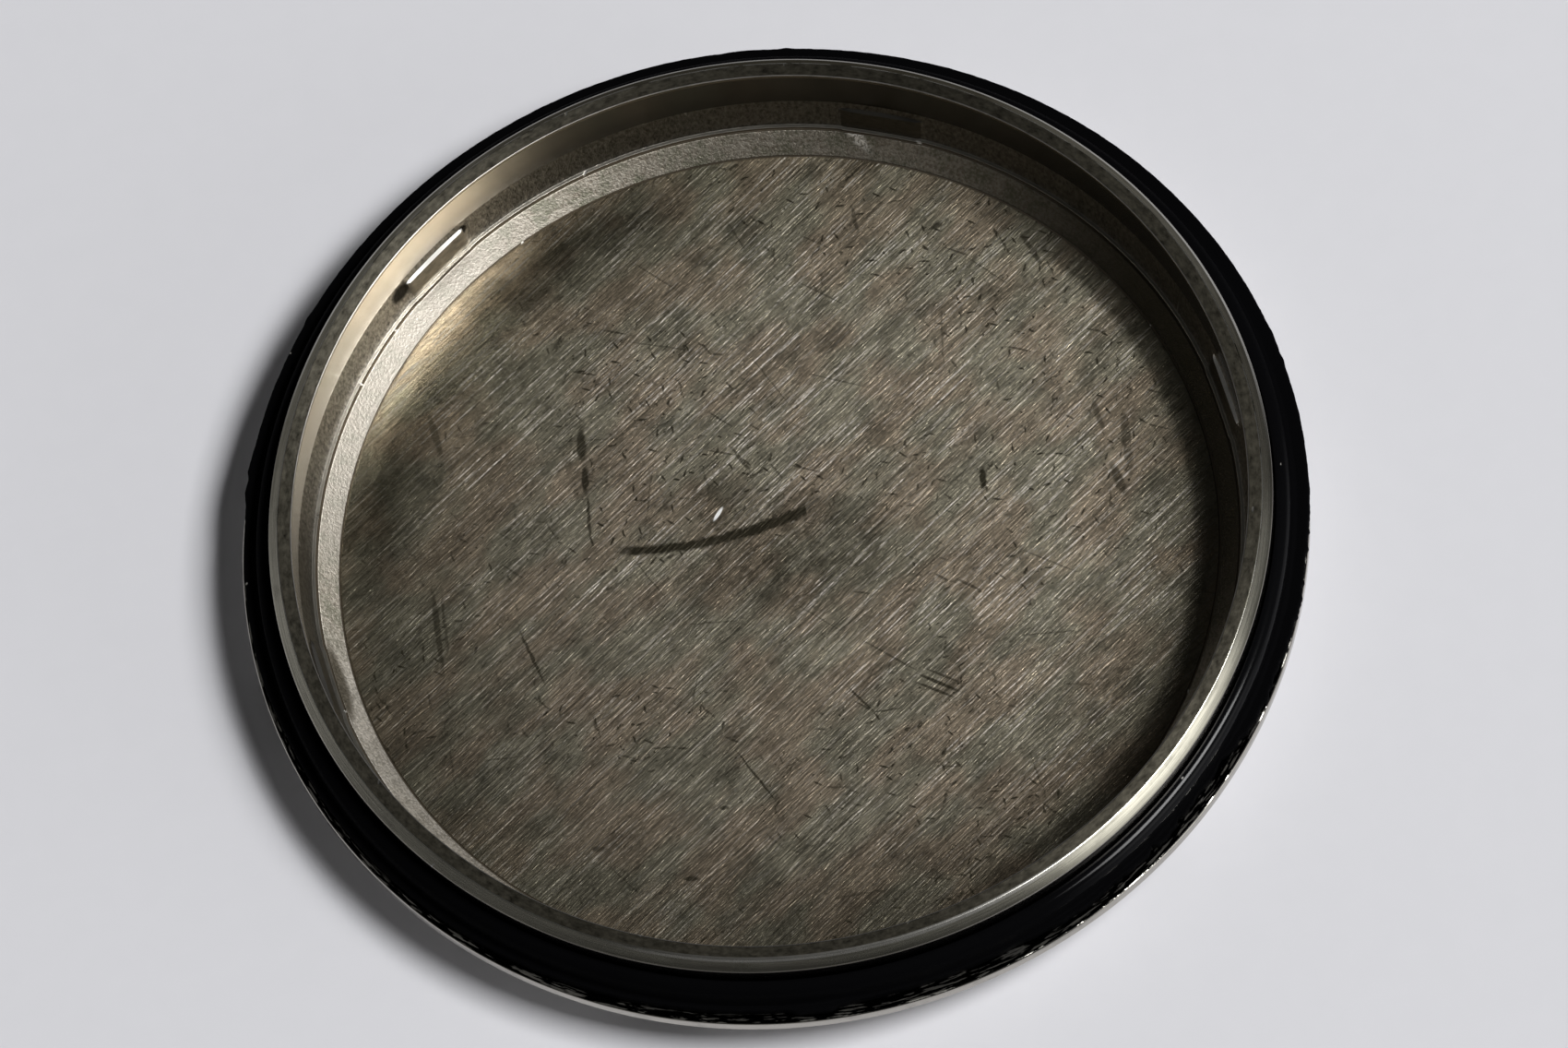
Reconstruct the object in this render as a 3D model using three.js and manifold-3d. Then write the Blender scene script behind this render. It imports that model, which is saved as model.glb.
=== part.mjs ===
// The back of a wristwatch case, lying with its inner face up, and the black gasket round its neck.
// Millimetres, +Z up. The origin is the centre of the flat outer face, which the back lies on.

import * as THREE from 'three';
import { mergeVertices } from 'three/addons/utils/BufferGeometryUtils.js';
import Module from 'manifold-3d';

const wasm = await Module();
wasm.setup();

// The round neck, which enters the watch case. All the back's radii follow from it.
const neckRadius = 16;
const neckHeight = 2;
const rimChamferWidth = 0.32;
const rimChamferDepth = 0.32;
const rimLandWidth = 0.45;

// The recess inside the neck, from the rim down: smooth wall, coarse wall, sloping ring, flat floor.
// A narrow shelf and groove part the coarse wall from the ring, and a fine groove parts ring and floor.
const smoothWallHeight = 1.8;
const coarseWallHeight = 1.05;
const coarseWallStep = 0.3;
const shelfWidth = 0.12;
const shelfGrooveWidth = 0.05;
const shelfGrooveDepth = 0.04;
const shelfStep = 0.05;
const ringHeight = 0.6;
const ringWidth = 0.68;
const floorGrooveWidth = 0.06;
const floorGrooveDepth = 0.04;
const plateThickness = 0.7;

// The flange that closes on the case, and the bevel from its edge down to the outer face.
const flangeWidth = 1.05;
const flangeEdgeHeight = 0.38;
const flangeEdgeBreak = 0.06;
const bevelWidth = 1.75;

// The wrench notches in the bevel, and the dents that pressing them left on the inner wall.
const notchCount = 6;
const firstNotchDegrees = 5.2;
const notchWidth = 2.8;
const notchReach = 1.45;
const notchHeight = 1.45;
const dentWidth = 2.6;
const dentProud = 0.13;
const dentBelowSmoothWall = 0.27;

// The gasket: a flat ring on the flange with a rounded collar that hugs the neck.
const gasketFit = 0.05;
const gasketOverhang = 0.08;
const gasketThickness = 0.3;
const collarThickness = 0.45;
const collarHeight = 1.15;
const collarRound = 0.35;
const collarFillet = 0.25;

// Mesh fineness, and how far a cutter or a joined block runs past the surface it must cross.
const turnSteps = 120;
const arcSteps = 4;
const overrun = 0.2;

// Sizes that follow from the ones above.
const boreRadius = neckRadius - rimChamferWidth - rimLandWidth;
const shelfRadius = boreRadius - coarseWallStep;
const shelfGrooveRadius = shelfRadius - shelfWidth;
const ringOuterRadius = shelfGrooveRadius - shelfGrooveWidth;
const floorRadius = ringOuterRadius - ringWidth;
const ringTop = plateThickness + ringHeight;
const shelfTop = ringTop + shelfStep;
const coarseTop = shelfTop + coarseWallHeight;
const rimTop = coarseTop + smoothWallHeight;
const flangeRadius = neckRadius + flangeWidth;
const flangeTop = rimTop - neckHeight;
const flangeBottom = flangeTop - flangeEdgeHeight;
const outerFaceRadius = flangeRadius - bevelWidth;

const steel = new THREE.MeshStandardMaterial({ color: 0x8f8a80, roughness: 0.38, metalness: 1 });
const blackRubber = new THREE.MeshStandardMaterial({ color: 0x0b0b0d, roughness: 0.45, metalness: 0 });

// A point of a turned outline: distance from the axis, and height.
function at(radius, height) {
  return new THREE.Vector2(radius, height);
}

// The points of a quarter round, from one angle to another, about its own centre.
function roundCorner(radius, height, bend, fromAngle, toAngle) {
  const points = [];
  for (let step = 0; step <= arcSteps; step += 1) {
    const angle = THREE.MathUtils.lerp(fromAngle, toAngle, step / arcSteps);
    points.push(at(radius + bend * Math.cos(angle), height + bend * Math.sin(angle)));
  }
  return points;
}

// A geometry with shared vertices and without the empty triangles that a turned outline has at its axis.
function sealed(geometry) {
  geometry.deleteAttribute('normal');
  geometry.deleteAttribute('uv');
  const merged = mergeVertices(geometry);
  const corners = merged.index.array;
  const kept = [];
  for (let i = 0; i < corners.length; i += 3) {
    const [a, b, c] = [corners[i], corners[i + 1], corners[i + 2]];
    if (a !== b && b !== c && c !== a) kept.push(a, b, c);
  }
  merged.setIndex(kept);
  return merged;
}

// An outline turned once round the vertical axis.
function turned(outline) {
  return sealed(new THREE.LatheGeometry(outline, turnSteps).rotateX(Math.PI / 2));
}

function toSolid(geometry) {
  return new wasm.Manifold(new wasm.Mesh({
    numProp: 3,
    vertProperties: new Float32Array(geometry.attributes.position.array),
    triVerts: new Uint32Array(geometry.index.array),
  }));
}

function toGeometry(solid) {
  const mesh = solid.getMesh();
  const geometry = new THREE.BufferGeometry();
  geometry.setAttribute('position', new THREE.BufferAttribute(mesh.vertProperties, 3));
  geometry.setIndex(new THREE.BufferAttribute(mesh.triVerts, 1));
  geometry.computeVertexNormals();
  return geometry;
}

// The back before its notches are pressed: one closed outline, turned.
function turnedBack() {
  return turned([
    at(0, 0),
    at(outerFaceRadius, 0),
    at(flangeRadius, flangeBottom),
    at(flangeRadius, flangeTop - flangeEdgeBreak),
    at(flangeRadius - flangeEdgeBreak, flangeTop),
    at(neckRadius, flangeTop),
    at(neckRadius, rimTop - rimChamferDepth),
    at(neckRadius - rimChamferWidth, rimTop),
    at(boreRadius, rimTop),
    at(boreRadius, coarseTop),
    at(shelfRadius, shelfTop),
    at(shelfGrooveRadius, shelfTop),
    at(shelfGrooveRadius, ringTop - shelfGrooveDepth),
    at(ringOuterRadius, ringTop - shelfGrooveDepth),
    at(ringOuterRadius, ringTop),
    at(floorRadius + floorGrooveWidth, plateThickness),
    at(floorRadius + floorGrooveWidth, plateThickness - floorGrooveDepth),
    at(floorRadius, plateThickness - floorGrooveDepth),
    at(floorRadius, plateThickness),
    at(0, plateThickness),
  ]);
}

// An outline in distance and height, drawn out straight across the radius and centred on it.
function acrossRadius(outline, width) {
  const geometry = new THREE.ExtrudeGeometry(new THREE.Shape(outline), { depth: width, bevelEnabled: false });
  return sealed(geometry.translate(0, 0, -width / 2).rotateX(Math.PI / 2));
}

// One notch's cutter: it opens the bevel and the outer face below it.
function notchCutter() {
  const innerEnd = flangeRadius - notchReach;
  return acrossRadius([
    at(innerEnd, -overrun),
    at(flangeRadius + overrun, -overrun),
    at(flangeRadius + overrun, notchHeight),
    at(innerEnd, notchHeight),
  ], notchWidth);
}

// One dent: a flat face just inside the coarse wall, from a small ledge down to the sloping ring.
// It crosses the shelf and its groove, and its foot is sunk in the steel under the ring.
function dentBlock() {
  const ledgeHeight = coarseTop - dentBelowSmoothWall;
  const ledgeRadius = boreRadius - (dentBelowSmoothWall * coarseWallStep) / coarseWallHeight;
  const footRadius = ringOuterRadius - dentProud;
  const footHeight = ringTop - (dentProud * ringHeight) / (ringWidth - floorGrooveWidth);
  return acrossRadius([
    at(footRadius, footHeight - overrun),
    at(ledgeRadius + overrun, footHeight - overrun),
    at(ledgeRadius + overrun, ledgeHeight),
    at(ledgeRadius - dentProud, ledgeHeight),
    at(footRadius, footHeight),
  ], dentWidth);
}

function caseBack() {
  let solid = toSolid(turnedBack());
  for (let i = 0; i < notchCount; i += 1) {
    const turn = THREE.MathUtils.degToRad(firstNotchDegrees) + (2 * Math.PI * i) / notchCount;
    solid = solid.add(toSolid(dentBlock().rotateZ(turn)));
    solid = solid.subtract(toSolid(notchCutter().rotateZ(turn)));
  }
  return toGeometry(solid);
}

function sealingGasket() {
  const innerRadius = neckRadius + gasketFit;
  const collarRadius = innerRadius + collarThickness;
  const outerRadius = flangeRadius + gasketOverhang;
  const flatTop = flangeTop + gasketThickness;
  const collarTop = flangeTop + collarHeight;
  const fillet = roundCorner(collarRadius + collarFillet, flatTop + collarFillet, collarFillet,
    -Math.PI / 2, -Math.PI);
  const shoulder = roundCorner(collarRadius - collarRound, collarTop - collarRound, collarRound,
    0, Math.PI / 2);
  const geometry = turned([
    at(innerRadius, flangeTop),
    at(outerRadius, flangeTop),
    at(outerRadius, flatTop),
    ...fillet,
    ...shoulder,
    at(innerRadius, collarTop),
    at(innerRadius, flangeTop),
  ]);
  geometry.computeVertexNormals();
  return geometry;
}

function namedMesh(name, geometry, material) {
  const mesh = new THREE.Mesh(geometry, material);
  mesh.name = name;
  return mesh;
}

const group = new THREE.Group();
group.add(namedMesh('case_back', caseBack(), steel));
group.add(namedMesh('sealing_gasket', sealingGasket(), blackRubber));

export default group;
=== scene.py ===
# The steel back of a wristwatch case, lying inner face up on white paper, with its black gasket.
# Metres, +Z up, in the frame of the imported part. Sizes below are written in millimetres times mm.

import math

import bpy
from mathutils import Matrix, Vector, noise


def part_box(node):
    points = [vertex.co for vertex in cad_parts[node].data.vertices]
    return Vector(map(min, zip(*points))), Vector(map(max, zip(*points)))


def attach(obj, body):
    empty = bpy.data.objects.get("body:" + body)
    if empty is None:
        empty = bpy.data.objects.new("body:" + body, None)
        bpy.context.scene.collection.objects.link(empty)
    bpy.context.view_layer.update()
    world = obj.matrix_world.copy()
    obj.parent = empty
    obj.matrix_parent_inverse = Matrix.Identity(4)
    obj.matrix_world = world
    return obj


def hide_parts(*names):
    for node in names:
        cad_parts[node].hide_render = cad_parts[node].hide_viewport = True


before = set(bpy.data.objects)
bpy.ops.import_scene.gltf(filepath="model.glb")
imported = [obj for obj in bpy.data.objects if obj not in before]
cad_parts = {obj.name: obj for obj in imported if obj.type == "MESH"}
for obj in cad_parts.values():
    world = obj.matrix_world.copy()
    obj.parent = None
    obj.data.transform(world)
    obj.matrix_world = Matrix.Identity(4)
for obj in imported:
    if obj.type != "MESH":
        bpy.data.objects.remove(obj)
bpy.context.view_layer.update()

mm = 0.001
scene = bpy.context.scene
scene.view_settings.view_transform = "Standard"


# The camera. It looks down on the back from in front and above, rolled a little to the right,
# from far enough off that the round rim is a clean ellipse. The rim's centre sets its place.

photo_width, photo_height = 1700, 1136
rim_centre_across, rim_centre_down = 832.9, 547.4
focal_pixels = 16426
camera_distance = 480 * mm
camera_elevation = math.radians(64.18)
camera_roll = math.radians(12.91)

back_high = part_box("case_back")[1]
rim_centre = Vector((0, 0, back_high.z))

forward = Vector((0, math.cos(camera_elevation), -math.sin(camera_elevation)))
level_up = Vector((0, math.sin(camera_elevation), math.cos(camera_elevation)))
level_right = Vector((1, 0, 0))
camera_right = level_right * math.cos(camera_roll) - level_up * math.sin(camera_roll)
camera_up = level_right * math.sin(camera_roll) + level_up * math.cos(camera_roll)
metres_per_pixel = camera_distance / focal_pixels

camera_data = bpy.data.cameras.new("camera")
camera_data.sensor_width = 36
camera_data.lens = focal_pixels / photo_width * camera_data.sensor_width
camera_data.clip_start = 10 * mm
camera = bpy.data.objects.new("camera", camera_data)
camera_place = (
    rim_centre
    - forward * camera_distance
    - camera_right * (rim_centre_across - photo_width / 2) * metres_per_pixel
    + camera_up * (rim_centre_down - photo_height / 2) * metres_per_pixel
)
camera_turn = Matrix((camera_right, camera_up, -forward)).transposed().to_4x4()
camera.matrix_world = Matrix.Translation(camera_place) @ camera_turn
scene.collection.objects.link(camera)
scene.camera = camera


# The white paper that the back lies on. It is flat, matt and faintly bluish. The two classes here
# build every material and shape tree below: Python sums and products on a socket add Math nodes.


class Socket:
    """One output of a node. Python's operators on it add Math nodes to its tree."""

    def __init__(self, graph, output):
        self.graph = graph
        self.output = output

    def other(self, name):
        return Socket(self.graph, self.output.node.outputs[name])

    def math(self, operation, *values):
        """A Math node on this socket and the values after it."""
        return self.graph.node("ShaderNodeMath", {"operation": operation}, (self, *values))

    def math_after(self, value, operation):
        """A Math node on a value and this socket after it."""
        return self.graph.node("ShaderNodeMath", {"operation": operation}, (value, self))

    def __add__(self, value):
        return self.math("ADD", value)

    def __sub__(self, value):
        return self.math("SUBTRACT", value)

    def __rsub__(self, value):
        return self.math_after(value, "SUBTRACT")

    def __mul__(self, value):
        return self.math("MULTIPLY", value)

    def __truediv__(self, value):
        return self.math("DIVIDE", value)

    def __rtruediv__(self, value):
        return self.math_after(value, "DIVIDE")

    def __gt__(self, value):
        return self.math("GREATER_THAN", value)

    def __lt__(self, value):
        return self.math("LESS_THAN", value)

    __radd__ = __add__
    __rmul__ = __mul__


class Graph:
    """A node tree that is built by calls."""

    def __init__(self, tree):
        self.tree = tree

    def node(self, kind, settings=None, values=()):
        """Adds a node: its settings first, then its sockets' values or links, by name or in order."""
        made = self.tree.nodes.new(kind)
        for name, setting in (settings or {}).items():
            if name == "stops":
                self.fill_ramp(made.color_ramp, setting)
            else:
                setattr(made, name, setting)
        shown = [socket for socket in made.inputs if socket.enabled]
        if isinstance(values, dict):
            pairs = [(next(s for s in shown if s.name == name), value) for name, value in values.items()]
        else:
            pairs = list(zip(shown, values))
        for socket, value in pairs:
            if isinstance(value, Socket):
                self.tree.links.new(value.output, socket)
            elif value is not None:
                socket.default_value = (*value, 1) if socket.type == "RGBA" else value
        outputs = [socket for socket in made.outputs if socket.enabled]
        return Socket(self, outputs[0]) if outputs else made

    def fill_ramp(self, ramp, stops):
        while len(ramp.elements) < len(stops):
            ramp.elements.new(1)
        for element, (place, colour) in zip(ramp.elements, stops):
            element.position = place
            element.color = (*colour, 1)

    def smooth(self, value, low, high, step="SMOOTHSTEP"):
        """0 up to low and 1 from high, with a soft step between. low may be the larger."""
        return self.node("ShaderNodeMapRange", {"interpolation_type": step}, (value, low, high, 0, 1))

    def ramp(self, value, low, high):
        """The same, with a straight slope between."""
        return self.smooth(value, low, high, "LINEAR")

    def combine(self, x, y, z):
        return self.node("ShaderNodeCombineXYZ", None, (x, y, z))

    def parts(self, vector):
        """A vector's three numbers."""
        x = self.node("ShaderNodeSeparateXYZ", None, (vector,))
        return x, x.other("Y"), x.other("Z")

    def vector(self, operation, *values):
        """A Vector Math node. Its output is a number where the operation gives one."""
        return self.node("ShaderNodeVectorMath", {"operation": operation}, values)

    def noise(self, vector, detail=2, roughness=0.5):
        """Noise with features about one unit of the vector across."""
        values = {"Vector": vector, "Scale": 1, "Detail": detail, "Roughness": roughness}
        return self.node("ShaderNodeTexNoise", {"noise_dimensions": "3D"}, values)

    def mix(self, factor, first, second, blend="MIX"):
        """A colour between two colours, or made from them by a blend."""
        settings = {"data_type": "RGBA", "blend_type": blend}
        return self.node("ShaderNodeMix", settings, (factor, first, second))


def surface(name, colour, roughness, metallic=0):
    """A new material and its graph, with the plain values of its shader set."""
    material = bpy.data.materials.new(name)
    material.use_nodes = True
    shader = material.node_tree.nodes["Principled BSDF"]
    shader.inputs["Base Color"].default_value = (*colour, 1)
    shader.inputs["Roughness"].default_value = roughness
    shader.inputs["Metallic"].default_value = metallic
    return material, Graph(material.node_tree)


def feed(graph, name, value):
    """Links a value to one socket of the material's shader."""
    shader = graph.tree.nodes["Principled BSDF"]
    graph.tree.links.new(value.output, shader.inputs[name])


def raise_surface(graph, height, reach):
    """Bump by a height from 0 to 1, where 1 stands reach metres proud."""
    values = {"Strength": 1, "Distance": reach, "Height": height}
    feed(graph, "Normal", graph.node("ShaderNodeBump", None, values))


def spot(graph):
    """The place on the piece in millimetres, which every pattern below counts in."""
    return graph.vector("SCALE", graph.node("ShaderNodeTexCoord").other("Object"), 1 / mm)


paper_colour = (0.66, 0.66, 0.69)
fibre_colours = (0.65, 0.65, 0.68), (0.67, 0.67, 0.70)
bench_colour = (0.20, 0.20, 0.205)
paper_roughness = 0.85
paper_half_width = 2.5
fade_start, fade_end = 150, 500

paper_material, graph = surface("white_paper", paper_colour, paper_roughness)
place = spot(graph)
paper_tone = graph.mix(graph.noise(place, 3), *fibre_colours)
far = graph.smooth(graph.vector("LENGTH", place), fade_start, fade_end)
feed(graph, "Base Color", graph.mix(far, paper_tone, bench_colour))

paper_mesh = bpy.data.meshes.new("paper")
half = paper_half_width
paper_corners = [(-half, -half, 0), (half, -half, 0), (half, half, 0), (-half, half, 0)]
paper_mesh.from_pydata(paper_corners, [], [(0, 1, 2, 3)])
paper_mesh.materials.append(paper_material)
paper = bpy.data.objects.new("paper", paper_mesh)
scene.collection.objects.link(paper)


# The light. One wide soft lamp stands high on the right, as a window does, and the room is dim.
# The lower part of the window shows as a weaker low glow, which only polished edges pick up.

lamp_azimuth = math.radians(-22)
lamp_elevation = math.radians(57)
lamp_distance = 1.2
lamp_wide = math.radians(25)
lamp_high = math.radians(16)

# With a share of 1, the lamp alone would show a level surface at the brightness of its colour.
lamp_share = 0.94

lamp_data = bpy.data.lights.new("window_lamp", "AREA")
lamp_data.shape = "RECTANGLE"
lamp_data.size = 2 * lamp_distance * math.tan(lamp_wide / 2)
lamp_data.size_y = 2 * lamp_distance * math.tan(lamp_high / 2)
lamp_data.energy = math.pi**2 * lamp_share * lamp_distance**2 / math.sin(lamp_elevation)
lamp = bpy.data.objects.new("window_lamp", lamp_data)


def toward(azimuth, elevation):
    """The direction at an azimuth from +X and an elevation above the paper."""
    level = math.cos(elevation)
    return Vector((level * math.cos(azimuth), level * math.sin(azimuth), math.sin(elevation)))


to_lamp = toward(lamp_azimuth, lamp_elevation)
lamp.location = rim_centre + to_lamp * lamp_distance
lamp.rotation_mode = "QUATERNION"
lamp.rotation_quaternion = to_lamp.to_track_quat("Z", "Y")
scene.collection.objects.link(lamp)

glow_azimuth = math.radians(-34)
glow_elevation = math.radians(9)
glow_edge = math.radians(28)
glow_core = math.radians(10)
glow_strength = 1.6

# The light of the room by height, from level at 0 to straight up at 1.
room_stops = [
    (0, (0.16, 0.16, 0.162)),
    (0.20, (0.13, 0.13, 0.131)),
    (0.45, (0.075, 0.075, 0.074)),
    (0.75, (0.034, 0.034, 0.033)),
]

world = bpy.data.worlds.new("dim_room")
world.use_nodes = True
scene.world = world
graph = Graph(world.node_tree)
direction = graph.node("ShaderNodeTexCoord")
room = graph.node("ShaderNodeValToRGB", {"stops": room_stops}, (graph.parts(direction)[2],))
toward_glow = graph.vector("DOT_PRODUCT", direction, toward(glow_azimuth, glow_elevation))
glow = graph.smooth(toward_glow, math.cos(glow_edge), math.cos(glow_core)) * glow_strength
room = graph.mix(1, room, graph.combine(glow, glow, glow), "ADD")
world.node_tree.links.new(room.output, world.node_tree.nodes["Background"].inputs["Color"])


# The case back: one turned piece of steel, a shallow dish with a neck that enters the watch case.
# Its outline is turned once round the axis by a shape tree, which crowds the steps near the marks.
# A second tree presses the six wrench notches and the dents that they left on the inner wall.

flange_width = 1.05 * mm
flange_edge_height = 0.38 * mm
bevel_width = 1.75 * mm
neck_height = 2 * mm
rim_chamfer_width = 0.32 * mm
rim_chamfer_depth = 0.32 * mm
rim_land_width = 0.45 * mm
rim_edge_width = 0.035 * mm
rim_line_top, rim_line_foot = 0.08 * mm, 0.14 * mm
smooth_wall_height = 1.8 * mm
coarse_wall_height = 1.05 * mm
coarse_wall_step = 0.3 * mm
shelf_width = 0.12 * mm
shelf_groove_width = 0.05 * mm
shelf_step = 0.05 * mm
ring_height = 0.6 * mm
ring_width = 0.68 * mm
floor_groove_width = 0.06 * mm
groove_depth = 0.04 * mm

flange_radius = back_high.x
rim_top = back_high.z
neck_radius = flange_radius - flange_width
flange_top = rim_top - neck_height
outer_face_radius = flange_radius - bevel_width
bore_radius = neck_radius - rim_chamfer_width - rim_land_width
coarse_top = rim_top - smooth_wall_height
shelf_top = coarse_top - coarse_wall_height
shelf_radius = bore_radius - coarse_wall_step
shelf_groove_radius = shelf_radius - shelf_width
ring_outer_radius = shelf_groove_radius - shelf_groove_width
ring_top = shelf_top - shelf_step
shelf_groove_floor = ring_top - groove_depth
plate_top = ring_top - ring_height
floor_radius = ring_outer_radius - ring_width
floor_groove_radius = floor_radius + floor_groove_width
floor_groove_floor = plate_top - groove_depth

mark_count = 6
first_mark = math.radians(5.2)
notch_width = 2.8 * mm
notch_reach = 1.45 * mm
notch_height = 1.45 * mm
notch_rounding = 0.25 * mm
notch_arc_steps = 6
dent_width = 2.6 * mm
dent_end = 0.3 * mm
dent_proud = 0.12 * mm
dent_below_smooth_wall = 0.26 * mm
dent_foot_below_ring = 0.3 * mm
ledge_drop = 0.04 * mm
dent_ledge = coarse_top - dent_below_smooth_wall
dent_foot = ring_top - dent_foot_below_ring

# The dents are looked for up to this far outside the bore, and take their finish this far
# above the shelf.
wall_margin, foot_margin = 0.1 * mm, 0.02 * mm

turn_steps = 640
step_crowding = 0.7
arc_steps = 3
beside_arc = 0.025 * mm
merge_distance = 0.0001 * mm

finishes = [
    "outer_face", "bevel", "flange_edge", "flange", "neck", "chamfer", "land", "rim_edge",
    "smooth_wall", "coarse_wall", "ledge", "dent", "shelf", "groove", "ring", "floor", "notch",
]


def rounded_outline(corners):
    """Points (radius, height) with the finish that starts at each, from corners with a rounding."""
    points = []
    for i, (radius, level, rounding, finish) in enumerate(corners):
        here = Vector((radius, level))
        if rounding == 0:
            points.append((here, finish))
            continue
        before = Vector(corners[i - 1][:2]) - here
        after = Vector(corners[i + 1][:2]) - here
        half = before.angle(after) / 2
        before.normalize()
        after.normalize()
        cut = rounding / math.tan(half)
        centre = here + (before + after).normalized() * rounding / math.sin(half)
        start = here + before * cut - centre
        end = here + after * cut - centre
        finish_before = corners[i - 1][3]
        points.append((here + before * (cut + beside_arc), finish_before))
        for step in range(arc_steps + 1):
            share = step / arc_steps
            on_arc = centre + start.slerp(end, share) * rounding
            points.append((on_arc, finish_before if share < 0.5 else finish))
        points.append((here + after * (cut + beside_arc), finish))
    return points


def outline_object(name, points):
    """A mesh of the outline's points alone, in the XZ plane, with a number for each one's finish."""
    mesh = bpy.data.meshes.new(name)
    mesh.from_pydata([(point.x, 0, point.y) for point, finish in points], [], [])
    numbers = mesh.attributes.new("finish", "INT", "POINT")
    numbers.data.foreach_set("value", [finishes.index(finish) for point, finish in points])
    made = bpy.data.objects.new(name, mesh)
    scene.collection.objects.link(made)
    return made


def shape_tree(name, inputs):
    """A geometry tree with named inputs: its graph and its input sockets by name."""
    tree = bpy.data.node_groups.new(name, "GeometryNodeTree")
    tree.interface.new_socket("Geometry", in_out="OUTPUT", socket_type="NodeSocketGeometry")
    tree.interface.new_socket("Geometry", in_out="INPUT", socket_type="NodeSocketGeometry")
    for label, kind in inputs.items():
        tree.interface.new_socket(label, in_out="INPUT", socket_type="NodeSocket" + kind)
    graph = Graph(tree)
    entry = tree.nodes.new("NodeGroupInput")
    return graph, {socket.name: Socket(graph, socket) for socket in entry.outputs if socket.name}


def stored_finish(graph):
    """The number of each point's or face's finish."""
    return graph.node("GeometryNodeInputNamedAttribute", {"data_type": "INT"}, ("finish",))


def store_finish(graph, shape, chosen, finish):
    """Gives the number of a finish to the chosen faces, or to all of them."""
    settings = {"data_type": "INT", "domain": "FACE"}
    return graph.node("GeometryNodeStoreNamedAttribute", settings, (shape, chosen, "finish", finish))


def end_tree(graph, shape, materials):
    """Realizes the shape, gives each finish its material, and ends the tree."""
    shape = graph.node("GeometryNodeRealizeInstances", None, (shape,))
    finish = stored_finish(graph)
    same = {"data_type": "INT", "operation": "EQUAL"}
    for i, (name, material) in enumerate(materials.items()):
        chosen = None
        if i > 0:
            chosen = graph.node("FunctionNodeCompare", same, (finish, finishes.index(name)))
        shape = graph.node("GeometryNodeSetMaterial", None, (shape, chosen, material))
    exit_node = graph.tree.nodes.new("NodeGroupOutput")
    graph.tree.links.new(shape.output, exit_node.inputs[0])


def apply_tree(made, tree, sizes):
    """Runs a shape tree on an object, with its sizes, and keeps the result as a plain mesh."""
    modifier = made.modifiers.new(tree.name, "NODES")
    modifier.node_group = tree
    for item in tree.interface.items_tree:
        if item.in_out == "INPUT" and item.name in sizes:
            modifier[item.identifier] = sizes[item.name]
    evaluated = made.evaluated_get(bpy.context.evaluated_depsgraph_get())
    mesh = bpy.data.meshes.new_from_object(evaluated)
    made.modifiers.remove(modifier)
    made.data = mesh
    mesh.name = made.name


def turning_tree(name, materials):
    """Turns an outline round the axis: a grid of steps by outline points, wrapped and closed."""
    graph, given = shape_tree(name, {
        "Steps": "Int", "Marks": "Int", "First Mark": "Float",
        "Crowding": "Float", "Merge Distance": "Float",
    })
    outline, steps, marks = given["Geometry"], given["Steps"], given["Marks"]
    corners = graph.node("GeometryNodeAttributeDomainSize", None, (outline,))
    grid = graph.node("GeometryNodeMeshGrid", None, {"Vertices X": steps + 1, "Vertices Y": corners})
    index = graph.node("GeometryNodeInputIndex")
    step = (index / corners).math("FLOOR")
    corner = graph.node(
        "GeometryNodeSampleIndex",
        {"data_type": "FLOAT_VECTOR"},
        (outline, graph.node("GeometryNodeInputPosition"), index - step * corners),
    )
    radius, _, height = graph.parts(corner)
    turn = step / steps * math.tau
    bunched = ((turn - given["First Mark"]) * marks).math("SINE")
    angle = turn - bunched * given["Crowding"] / marks
    place = graph.combine(radius * angle.math("COSINE"), radius * angle.math("SINE"), height)
    shape = graph.node("GeometryNodeSetPosition", None, {"Geometry": grid, "Position": place})
    strip = index.math("FLOORED_MODULO", corners - 1)
    finish = graph.node(
        "GeometryNodeSampleIndex", {"data_type": "INT"}, (outline, stored_finish(graph), strip)
    )
    shape = store_finish(graph, shape, None, finish)
    values = {"Geometry": shape, "Distance": given["Merge Distance"]}
    end_tree(graph, graph.node("GeometryNodeMergeByDistance", None, values), materials)
    return graph.tree


def reach_of(x, y):
    """The distance from the axis."""
    return (x * x + y * y).math("SQRT")


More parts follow.
